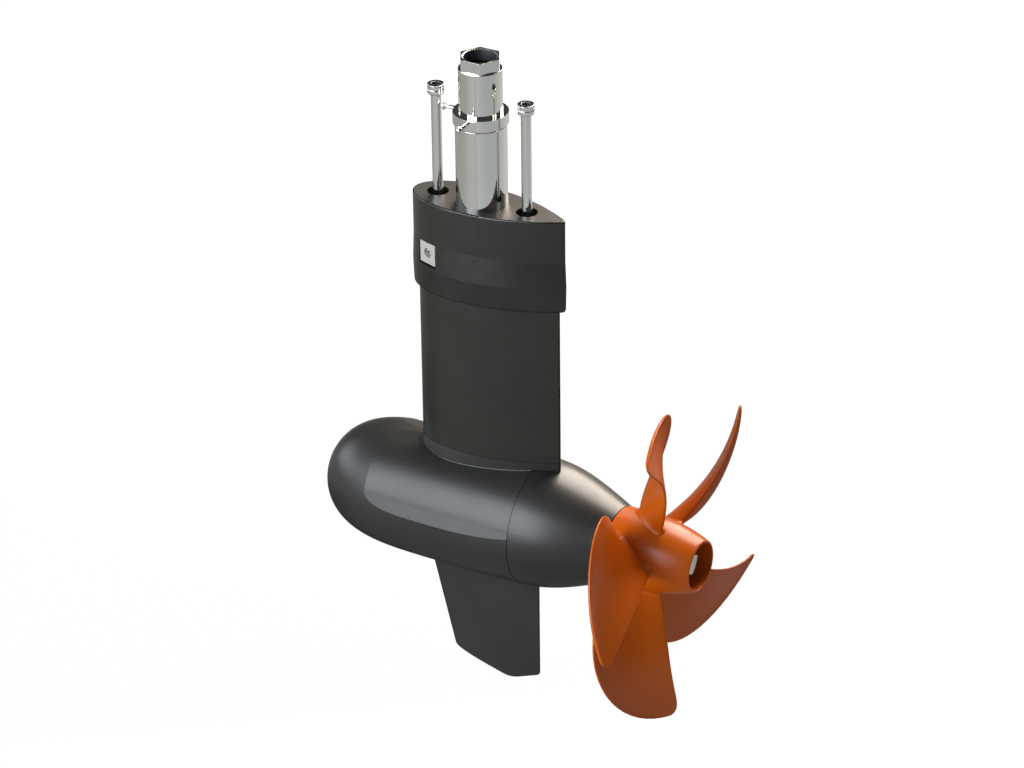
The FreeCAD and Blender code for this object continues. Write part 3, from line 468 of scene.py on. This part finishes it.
def castZinc():
    # bare cast zinc that has just dulled: pale, matt, with a blotchy grain
    material, tree = newMaterial("castZinc")
    return finished(material, tree, {"Metallic": 0.1}, {
        "Base Color": clouded(tree, "#969489", "#a3a197", 3.0, 4.0),
        "Roughness": spotted(tree, 4.0, 0.48, 0.62),
        "Normal": grained(tree, [(0.6, 0.02, 2.0, None)])})


def sealRubber():
    # nitrile rubber: dead matt with a dusting of talc
    material, tree = newMaterial("sealRubber")
    return finished(material, tree, {"IOR": 1.5}, {
        "Base Color": clouded(tree, "#161616", "#222221", 2.0, 4.0),
        "Roughness": spotted(tree, 3.0, 0.68, 0.8),
        "Normal": grained(tree, [(2.0, 0.02, 4.0, None)])})


def turnedMetal(name, dark, light, gloss, stepMm, axis):
    # turned on a lathe: rings at this step along one axis, wider than a real tool's feed
    material, tree = newMaterial(name)
    where = addNode(tree, "ShaderNodeTexCoord").outputs["Object"]
    rings = addNode(tree, "ShaderNodeTexWave",
                    {"bands_direction": axis, "Distortion": 0.4,
                     "Scale": perMetre(stepMm) / bandsPerMetre}, {"Vector": where})
    feed = addNode(tree, "ShaderNodeBump", {"Distance": 0.01 * mm, "Strength": 1.0},
                   {"Height": rings.outputs["Fac"]})
    return finished(material, tree, {"Metallic": 1.0}, {
        "Base Color": clouded(tree, dark, light, 8.0), "Roughness": spotted(tree, 5.0, *gloss),
        "Normal": feed})


def machinedBrass():
    # free cutting brass, turned: warm yellow with fine tool rings
    return turnedMetal("machinedBrass", "#b99750", "#cbab62", (0.22, 0.3), 0.8, "Z")


def laminatedSteel():
    # stamped electrical sheets, stacked along the shaft: dull grey with dark lines, one to a
    # few sheets
    return turnedMetal("laminatedSteel", "#77787a", "#8c8d8f", (0.38, 0.48), 2.0, "X")


def enamelledCopper():
    # round copper wire under clear enamel: red gold, strand beside strand
    return turnedMetal("enamelledCopper", "#9c5228", "#c07038", (0.2, 0.28), 2.4, "Y")


def machinedAluminium():
    # faced aluminium casting: light grey with turning rings
    return turnedMetal("machinedAluminium", "#b9babc", "#cdced0", (0.28, 0.36), 1.2, "X")


def groundBearingSteel():
    # ground and honed bearing steel: bright, with very fine rings
    return turnedMetal("groundBearingSteel", "#b0b1b3", "#c4c5c7", (0.12, 0.18), 0.6, "X")


def solderMask():
    # glass epoxy board under green mask: glossy, with the weave just showing
    material, tree = newMaterial("solderMask")
    weave = (1.0, 1.0, 0.5)
    return finished(material, tree, {"IOR": 1.55}, {
        "Base Color": clouded(tree, "#1d4a2c", "#266038", 0.9, 1.0, weave),
        "Roughness": spotted(tree, 4.0, 0.25, 0.35),
        "Normal": grained(tree, [(0.9, 0.01, 1.0, weave)])})


finishes = {
    "bright_steel": polishedSteel(steelMarks),
    "column_paint": columnPaint(columnCoat),
    "skirt_plastic": sparkTexturedPlastic(),
    "pod_paint": satinBlackPaint(),
    "propeller_plastic": orangeNylon(),
    "anode_zinc": castZinc(),
    "seal_rubber": sealRubber(),
    "insert_brass": machinedBrass(),
    "core_steel": laminatedSteel(),
    "winding_copper": enamelledCopper(),
    "bell_aluminium": machinedAluminium(),
    "bearing_steel": groundBearingSteel(),
    "board_plastic": solderMask(),
}
slotOf = {part["node"]: part["material_slot"] for part in frame["record"]["subparts"]}
for name, slot in slotOf.items():
    nodes[name].data.materials.clear()
    nodes[name].data.materials.append(finishes[slot])
print("finishes ready:", len(finishes))


# Mesh tools

smoothUpTo = 38             # degrees between faces that still shade as one
cadSeam = 0.002 * mm        # corners of a CAD mesh closer than this are one
spinSeam = 0.001 * mm       # the same where a spin closes
flatUpTo = 0.6              # degrees between triangles of one flat or even face


def addPiece(bm, name, body, slot, stands=None):
    # a finished piece: smooth between its corners, with its finish, its body and the node it
    # stands for
    for face in bm.faces:
        face.smooth = True
    for edge in bm.edges:
        edge.smooth = edge.calc_face_angle(0.0) < math.radians(smoothUpTo)
    mesh = bpy.data.meshes.new(name)
    bm.to_mesh(mesh)
    bm.free()
    mesh.materials.append(finishes[slot])
    piece = bpy.data.objects.new(name, mesh)
    scene.collection.objects.link(piece)
    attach(piece, body)
    if stands:
        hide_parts(stands)
    return piece


def evenNormals(piece):
    # flats stay flat beside their rounded edges
    weigh = piece.modifiers.new("evenNormals", "WEIGHTED_NORMAL")
    weigh.keep_sharp = True
    weigh.weight = 100


def softened(node, name, body, width, sharp=32, segments=3):
    # a merged copy of a CAD node with its sharp edges rounded
    bm = bmesh.new()
    bm.from_mesh(nodes[node].data)
    bmesh.ops.remove_doubles(bm, verts=bm.verts, dist=cadSeam)
    bmesh.ops.dissolve_limit(bm, angle_limit=math.radians(flatUpTo), verts=bm.verts,
                             edges=bm.edges)
    corners = [e for e in bm.edges
               if len(e.link_faces) == 2 and e.calc_face_angle(0.0) > math.radians(sharp)]
    bmesh.ops.bevel(bm, geom=corners, offset=width * mm, offset_type="OFFSET",
                    segments=segments, profile=0.5, affect="EDGES", clamp_overlap=True,
                    material=-1)
    evenNormals(addPiece(bm, name, body, slotOf[node], node))


def turned(bm, profile, rounds, steps, axis, origin):
    # a closed or open outline spun about an axis; rounds gives each corner's radius in mm
    verts = [bm.verts.new(origin + p) for p in profile]
    edges = [bm.edges.new((verts[i], verts[i + 1])) for i in range(len(verts) - 1)]
    for i, radius in enumerate(rounds):
        if radius > 0:
            bmesh.ops.bevel(bm, geom=[verts[i]], offset=radius * mm, offset_type="OFFSET",
                            segments=3, profile=0.5, affect="VERTICES", clamp_overlap=True,
                            material=-1)
    start = list(bm.verts) + list(bm.edges)
    bmesh.ops.spin(bm, geom=start, cent=origin, axis=axis, angle=math.tau, steps=steps,
                   use_merge=True, use_duplicate=False)
    bmesh.ops.remove_doubles(bm, verts=bm.verts, dist=spinSeam)
    bmesh.ops.recalc_face_normals(bm, faces=bm.faces)


def hexRing(bm, centre, flats, steps):
    # a ring of points along a hexagon's sides, corner at angle 0
    ring = bmesh.ops.create_circle(bm, segments=steps, radius=1.0)["verts"]
    for vert in ring:
        turn = math.atan2(vert.co.y, vert.co.x)
        side = (turn % (math.pi / 3)) - math.pi / 6
        reach = flats / 2 / math.cos(side) * mm
        vert.co = centre + Vector((math.cos(turn), math.sin(turn), 0)) * reach
    return ring


def edgesOf(verts):
    # the edges between these points
    inside = set(verts)
    return list({e for v in verts for e in v.link_edges if e.other_vert(v) in inside})


def joinInto(bm, part):
    # adds a part's mesh to a piece's
    mesh = bpy.data.meshes.new("partDraft")
    part.to_mesh(mesh)
    part.free()
    bm.from_mesh(mesh)
    bpy.data.meshes.remove(mesh)


def sinkSocket(bm, middle, top, s):
    # a hexagon socket with a chamfered lip, below the open rim of a turned head
    rim = [v for v in bm.verts if v.is_boundary]
    lip = hexRing(bm, middle + Vector((0, 0, (top - s["socketChamfer"]) * mm)),
                  s["socketFlats"], s["steps"])
    bmesh.ops.bridge_loops(bm, edges=edgesOf(rim) + edgesOf(lip))
    well = bmesh.ops.extrude_edge_only(bm, edges=edgesOf(lip))["geom"]
    floor = [g for g in well if isinstance(g, bmesh.types.BMVert)]
    drop = (s["socketDepth"] - s["socketChamfer"]) * mm
    bmesh.ops.translate(bm, verts=floor, vec=(0, 0, -drop))
    bmesh.ops.contextual_create(bm, geom=edgesOf(floor))
    bmesh.ops.recalc_face_normals(bm, faces=bm.faces)


# Propeller: a turned hub with five skewed blades whose roots flare into it

propeller = {
    "front": 150.4, "length": 87.3, "frontRadius": 37.9, "backRadius": 25.8,
    "handles": (30.0, 30.0), "slopes": (0.02, 0.42), "curvePoints": 28, "steps": 96,
    "mouthRadius": 23.6, "mouthDepth": 34.7, "boreRadius": 8.05,
    "rimRound": 0.9, "webRound": 2.0,
    "blades": 5, "tipRadius": 163.0, "rootRadius": 25.0,
    "lawRadii": (33.0, 164.3),             # where the laws run from 0 to 1
    "chords": (40.0, 99.3, 132.2),
    "tipPower": 6.5, "tailTrim": 0.14, "tailPower": 15.6,
    "back": (49.6, 43.4, -14.1, -5.9),     # trailing edge aft of the hub's front
    "skew": (18.5, -0.1, 11.7, 2.9),
    "pitch": (335.0, 21.4, -38.9),
    "camber": (0.075, -0.043),
    "thickness": (9.9, -7.3), "thinnest": 0.05,
    "tipClosure": 0.9972,                  # share of the tip's round that the tip reaches
    "edgeRadius": 0.95, "rootFillet": 4.0,
    "around": 48, "crowding": 0.45,        # points of a section, and how they crowd at its edges
    "rootStations": 12, "rootStep": 1.8, "stations": 30,
}


def law(terms, t):
    return sum(term * t ** power for power, term in enumerate(terms))


def hubCurve(p):
    front, back = p["handles"]
    end = p["front"] + p["length"]
    knots = [Vector((p["front"], 0, p["frontRadius"])),
             Vector((p["front"] + front, 0, p["frontRadius"] - p["slopes"][0] * front)),
             Vector((end - back, 0, p["backRadius"] + p["slopes"][1] * back)),
             Vector((end, 0, p["backRadius"]))]
    return interpolate_bezier(*knots, p["curvePoints"])


def hubRadiusAt(curve, x):
    for a, b in zip(curve, curve[1:]):
        if a.x <= x <= b.x:
            return a.z + (b.z - a.z) * (x - a.x) / (b.x - a.x)
    return curve[0].z if x < curve[0].x else curve[-1].z


def bladePoint(p, curve, phi, radius):
    # place on the blade's skin: phi runs round the section, radius along the blade
    low, high = p["lawRadii"]
    t = (radius - low) / (high - low)
    share = min(1.0, max(0.0, (radius - low) / (p["tipRadius"] - low)))
    root, middle, tip = p["chords"]
    full = root * (1 - t) * (1 - 2 * t) + 4 * middle * t * (1 - t) + tip * t * (2 * t - 1)
    reach = share * p["tipClosure"]
    trim = full * p["tailTrim"] * (1 - math.sqrt(1 - reach ** p["tailPower"]))
    chord = full * math.sqrt(1 - reach ** p["tipPower"]) - trim
    widest = chord / 3      # the half thickness of a short section near the tip
    edge = min(p["edgeRadius"], widest)
    pitch = math.atan(law(p["pitch"], t) / (2 * math.pi * radius))
    tailAngle = math.radians(law(p["skew"], t))
    tailX = p["front"] + law(p["back"], t)
    half = max(p["thinnest"], min(0.5 * law(p["thickness"], share), widest) - edge)
    core = chord - 2 * edge
    u = 0.5 - 0.5 * math.cos(phi)
    outX, outY = -math.cos(phi) * half, math.sin(phi) * core / 2
    size = math.hypot(outX, outY)
    mean = law(p["camber"], share) * chord * 4 * u * (1 - u)

    def at(grow):
        along = trim + edge + u * core + outX / size * grow
        offset = mean + half * math.sin(phi) + outY / size * grow
        x = tailX - along * math.sin(pitch) - offset * math.cos(pitch)
        arc = -along * math.cos(pitch) + offset * math.sin(pitch)
        return x, tailAngle + arc / radius

    x, angle = at(edge)
    depth = radius - hubRadiusAt(curve, x)
    fillet = p["rootFillet"]
    if depth < fillet:
        rise = min(fillet, fillet - depth)
        x, angle = at(edge + fillet - math.sqrt(fillet ** 2 - rise ** 2))
    return Vector((x * mm, -radius * math.sin(angle) * mm,
                   radius * math.cos(angle) * mm))


def addBlade(bm, p, curve, turn):
    # one ring of the section, extruded station by station to the tip
    ring = bmesh.ops.create_circle(bm, segments=p["around"], radius=1.0)["verts"]
    phis = []
    for vert in ring:
        even = math.atan2(vert.co.y, vert.co.x)
        phis.append(even - p["crowding"] * math.sin(2 * even))
    edges = list({e for v in ring for e in v.link_edges})
    radii = [p["rootRadius"] + p["rootStep"] * i for i in range(p["rootStations"])]
    start = radii[-1]
    for i in range(1, p["stations"] + 1):
        share = math.sin(math.pi / 2 * i / p["stations"])
        radii.append(start + (p["tipRadius"] - start) * share)
    place = Matrix.Translation((0, 0, podZ)) @ Matrix.Rotation(turn, 4, "X")
    spot = dict(zip(ring, phis))
    for i, radius in enumerate(radii):
        if i:
            out = bmesh.ops.extrude_edge_only(bm, edges=edges)["geom"]
            fresh = [g for g in out if isinstance(g, bmesh.types.BMVert)]
            edges = [g for g in out if isinstance(g, bmesh.types.BMEdge)
                     and all(v in fresh for v in g.verts)]
            spot = {vert: next(spot[e.other_vert(vert)] for e in vert.link_edges
                               if e.other_vert(vert) in spot) for vert in fresh}
        for vert, phi in spot.items():
            vert.co = place @ bladePoint(p, curve, phi, radius)
    bmesh.ops.contextual_create(bm, geom=edges)
    lowest = [e for e in {e for v in ring for e in v.link_edges} if len(e.link_faces) == 1]
    bmesh.ops.contextual_create(bm, geom=lowest)


def makePropeller(p):
    bm = bmesh.new()
    curve = hubCurve(p)
    end = p["front"] + p["length"]
    web = end - p["mouthDepth"]
    profile = [Vector((q.x, 0, q.z)) for q in curve]
    profile += [Vector((end, 0, p["mouthRadius"])), Vector((web, 0, p["mouthRadius"])),
                Vector((web, 0, p["boreRadius"])), Vector((p["front"], 0, p["boreRadius"])),
                Vector((p["front"], 0, p["frontRadius"]))]
    rounds = [0.0] * len(profile)
    rim = p["curvePoints"] - 1
    rounds[rim:rim + 3] = p["rimRound"], p["rimRound"], p["webRound"]
    turned(bm, [q * mm for q in profile], rounds, p["steps"], (1, 0, 0), Vector((0, 0, podZ)))
    for i in range(p["blades"]):
        addBlade(bm, p, curve, math.tau * i / p["blades"])
    bmesh.ops.recalc_face_normals(bm, faces=bm.faces)
    addPiece(bm, "propellerMoulding", "rotor", "propeller_plastic", "propeller")


makePropeller(propeller)
print("propeller modelled")


# Hull bolts: a grooved head with a hexagon socket on a plain shank

hullBolts = {
    "offset": 48.76, "shankRadius": 5.0, "foot": -67.0, "top": 111.1,
    "headRadius": 8.1, "headHeight": 10.0, "neckRound": 0.9, "lowerRound": 1.2,
    "footRound": 0.8, "grooveHeight": 4.7, "grooveWidth": 0.8, "grooveDepth": 0.35,
    "grooveRounds": (0.3, 0.2, 0.3), "rimRound": 0.45,
    "mouthRadius": 4.9, "socketFlats": 8.0, "socketChamfer": 0.25, "socketDepth": 5.0,
    "steps": 48,
}


def addHullBolt(bm, b, x):
    neck = b["top"] - b["headHeight"]
    groove = neck + b["grooveHeight"]
    width, deep = b["grooveWidth"], b["headRadius"] - b["grooveDepth"]
    rounds = b["grooveRounds"]
    corners = [(0.0, b["foot"], 0), (b["shankRadius"], b["foot"], b["footRound"]),
               (b["shankRadius"], neck, b["neckRound"]),
               (b["headRadius"], neck, b["lowerRound"]), (b["headRadius"], groove, rounds[0]),
               (deep, groove + width / 2, rounds[1]),
               (b["headRadius"], groove + width, rounds[2]),
               (b["headRadius"], b["top"], b["rimRound"]), (b["mouthRadius"], b["top"], 0)]
    part = bmesh.new()
    axis = Vector((x * mm, 0, 0))
    profile = [Vector((r * mm, 0, z * mm)) for r, z, _ in corners]
    turned(part, profile, [c[2] for c in corners], b["steps"], (0, 0, 1), axis)
    sinkSocket(part, axis, b["top"], b)
    joinInto(bm, part)


def makeHullBolts(b):
    bm = bmesh.new()
    for side in (-1, 1):
        addHullBolt(bm, b, side * b["offset"])
    evenNormals(addPiece(bm, "hullBoltPair", "pod", "bright_steel", "hull_bolts"))


makeHullBolts(hullBolts)
print("hull bolts turned")


# Lock screws: a plain rod, a collar and a domed tip

lockScrews = {
    "height": 91.0, "start": 20.85, "rodRadius": 1.9, "collarRadius": 4.0, "collarLength": 1.5,
    "tipRadius": 2.5, "tipLength": 3.0, "dome": 1.9, "domePoints": 9,
    "collarRound": 0.5, "rootRound": 0.2, "steps": 32,
    "screws": ((-87.0, 41.2), (-177.0, 37.6)),     # turn from aft and reach of the collar
}


def makeLockScrews(s):
    bm = bmesh.new()
    for turn, reach in s["screws"]:
        collar = reach + s["collarLength"]
        end = collar + s["tipLength"]
        corners = [(s["start"], 0, 0), (s["start"], s["rodRadius"], 0),
                   (reach, s["rodRadius"], s["rootRound"]),
                   (reach, s["collarRadius"], s["collarRound"]),
                   (collar, s["collarRadius"], s["collarRound"]),
                   (collar, s["tipRadius"], s["rootRound"])]
        for i in range(s["domePoints"]):
            a = math.pi / 2 * i / (s["domePoints"] - 1)
            corners.append((end - s["dome"] * (1 - math.sin(a)), s["tipRadius"] * math.cos(a), 0))
        part = bmesh.new()
        turned(part, [Vector((x * mm, 0, r * mm)) for x, r, _ in corners],
               [c[2] for c in corners], s["steps"], (1, 0, 0), Vector((0, 0, 0)))
        place = Matrix.Translation((0, 0, s["height"] * mm)) @ Matrix.Rotation(
            math.radians(turn), 4, "Z")
        bmesh.ops.transform(part, matrix=place, verts=part.verts)
        joinInto(bm, part)
    evenNormals(addPiece(bm, "lockScrewPair", "pod", "bright_steel", "lock_screws"))


makeLockScrews(lockScrews)
print("lock screws turned")


# Pedestal: the thin bead of paint where its foot meets the pod

pedestalBead = {
    "radius": 0.75, "sides": 8, "lift": 0.15, "overlap": 1.02, "shortest": 0.05, "weld": 0.06,
    "above": -300.0, "outside": 62.0,      # the line lies above this and this far off the axis
    "sharp": 28, "steep": 0.35,            # degrees of its bend, and the wall's upward share
}


def footLines(mesh, b):
    # chains of points along the concave line between the pedestal's wall and the pod's skin
    bm = bmesh.new()
    bm.from_mesh(mesh)
    bmesh.ops.remove_doubles(bm, verts=bm.verts, dist=cadSeam)
    lines = []
    for edge in bm.edges:
        if len(edge.link_faces) != 2 or min(v.co.z for v in edge.verts) < b["above"] * mm:
            continue
        wall = min(abs(f.normal.z) for f in edge.link_faces)
        bend = edge.calc_face_angle_signed(0.0)
        off = max(math.hypot(v.co.y, v.co.z - podZ) for v in edge.verts)
        if wall < b["steep"] and bend < -math.radians(b["sharp"]) and off > b["outside"] * mm:
            lines.append([v.co.copy() for v in edge.verts])
    bm.free()
    return lines


def makeBead(b):
    bm = bmesh.new()
    for start, end in footLines(nodes["pod_housing"].data, b):
        along = end - start
        if along.length < b["shortest"] * mm:
            continue
        tube = bmesh.ops.create_cone(bm, cap_ends=False, segments=b["sides"],
                                     radius1=b["radius"] * mm, radius2=b["radius"] * mm,
                                     depth=along.length * b["overlap"])["verts"]
        turn = along.to_track_quat("Z", "Y").to_matrix().to_4x4()
        middle = (start + end) / 2 + Vector((0, 0, b["lift"] * mm))
        bmesh.ops.transform(bm, matrix=Matrix.Translation(middle) @ turn, verts=tube)
    bmesh.ops.remove_doubles(bm, verts=bm.verts, dist=b["weld"] * mm)
    addPiece(bm, "pedestalBead", "pod", "pod_paint")


makeBead(pedestalBead)
print("pedestal bead laid")


# Anode screw: a socket head set in the plate's recess, with a round lip and a dark well

anodeScrew = {
    "headRadius": 3.9, "lipRound": 0.7, "sunk": 0.9, "depth": 2.4,
    "dishRadius": 1.95, "dishRound": 0.3,
    "socketFlats": 3.2, "socketChamfer": 0.35, "socketDepth": 1.5, "steps": 48,
}


def portFace(node):
    # middle and direction of a plate's largest face to port
    mesh = nodes[node].data
    total = {}
    for face in mesh.polygons:
        if face.normal.y < -0.5:
            key = tuple(round(c, 2) for c in face.normal)
            total.setdefault(key, []).append(face)
    widest = max(total.values(), key=lambda faces: sum(f.area for f in faces))
    normal = widest[0].normal
    points = [mesh.vertices[i].co for f in widest for i in f.vertices]
    low = Vector([min(p[i] for p in points) for i in range(3)])
    high = Vector([max(p[i] for p in points) for i in range(3)])
    return (low + high) / 2, Vector(normal)


def makeAnodeScrew(a):
    middle, outward = portFace("anode_plate")
    bm = bmesh.new()
    top = -a["sunk"]
    corners = [(0.0, -a["depth"], 0), (a["headRadius"], -a["depth"], 0),
               (a["headRadius"], top, a["lipRound"]), (a["dishRadius"], top, a["dishRound"])]
    turned(bm, [Vector((r * mm, 0, z * mm)) for r, z, _ in corners], [c[2] for c in corners],
           a["steps"], (0, 0, 1), Vector((0, 0, 0)))
    sinkSocket(bm, Vector((0, 0, 0)), top, a)
    turn = outward.to_track_quat("Z", "Y").to_matrix().to_4x4()
    bmesh.ops.transform(bm, matrix=Matrix.Translation(middle) @ turn, verts=bm.verts)
    evenNormals(addPiece(bm, "anodeScrewHead", "pod", "bright_steel", "anode_screw"))


makeAnodeScrew(anodeScrew)
print("anode screw turned")


# Fittings with softly broken edges

broken = {
    "stem_tube": ("polishedStem", "pod", 0.35), "hull_sleeve": ("polishedSleeve", "pod", 0.3),
    "ring_nut": ("clampRing", "pod", 0.35),
    "anode_plate": ("zincPlate", "pod", 0.7), "prop_nut": ("propellerNut", "rotor", 0.5),
    "prop_washer": ("propellerWasher", "rotor", 0.3),
}
for node, (name, body, width) in broken.items():
    softened(node, name, body, width)
print("fittings softened:", len(broken))
